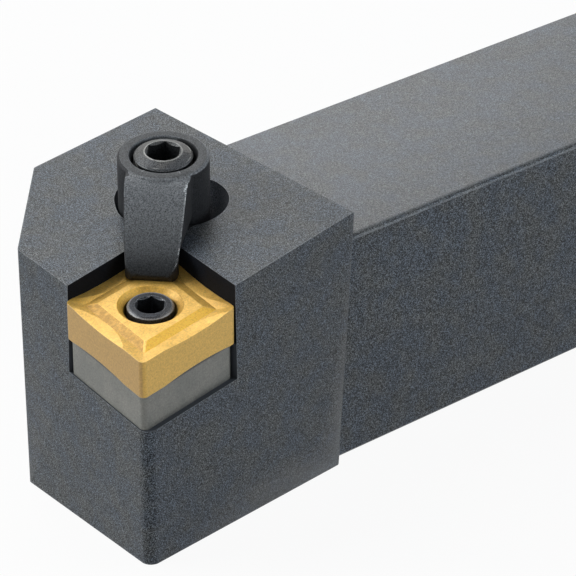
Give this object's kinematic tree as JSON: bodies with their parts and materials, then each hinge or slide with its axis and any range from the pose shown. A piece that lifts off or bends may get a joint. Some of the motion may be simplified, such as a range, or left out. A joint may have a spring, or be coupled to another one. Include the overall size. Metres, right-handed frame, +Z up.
{
  "type": "turning tool holder",
  "caption": "Square-shank turning tool holder with a coated rhombic insert on a shim, held by a cam pin and a bridge clamp.",
  "frame": {"origin": "on the seating face under the shank, at its middle across, in the plane of the shoulder where the shank meets the head", "axes": "+X along the shank towards the cutting end, +Y the side that the insert's nose stands out from, +Z up off the seating face"},
  "size_m": [0.1523, 0.0481, 0.0534],
  "materials": {
    "holder_body": "black oxide, satin",
    "shim_seat": "ground carbide",
    "insert": "gold nitride coating on carbide",
    "lock_pin": "black oxide",
    "clamp": "forged, black oxide",
    "clamp_screw": "black oxide"
  },
  "bodies": {
    "holder": {"holder_body": "holder_body", "shim_seat": "shim_seat", "insert": "insert"},
    "cam_pin": {"lock_pin": "lock_pin"},
    "bridge": {"clamp": "clamp"},
    "screw": {"clamp_screw": "clamp_screw"}
  },
  "joints": [
    {"name": "clamp_lift", "type": "slide", "parent": "holder", "child": "bridge", "axis": [0.0867, 0.1007, 0.9911], "range_m": [0, 0.003]},
    {"name": "clamp_screw_turn", "type": "hinge", "parent": "bridge", "child": "screw", "pos_m": [0.01749, 0.00019, 0.04144], "axis": [0.0867, 0.1007, 0.9911], "range_deg": [0, 520]},
    {"name": "lock_pin_turn", "type": "hinge", "parent": "holder", "child": "cam_pin", "pos_m": [0.034, 0.01623, 0.03836], "axis": [0.0867, 0.1007, 0.9911], "range_deg": [0, 180]}
  ],
  "couplings": [
    {"joint": "clamp_screw_turn", "follows": "clamp_lift", "rad_per_m": 2968.4}
  ]
}
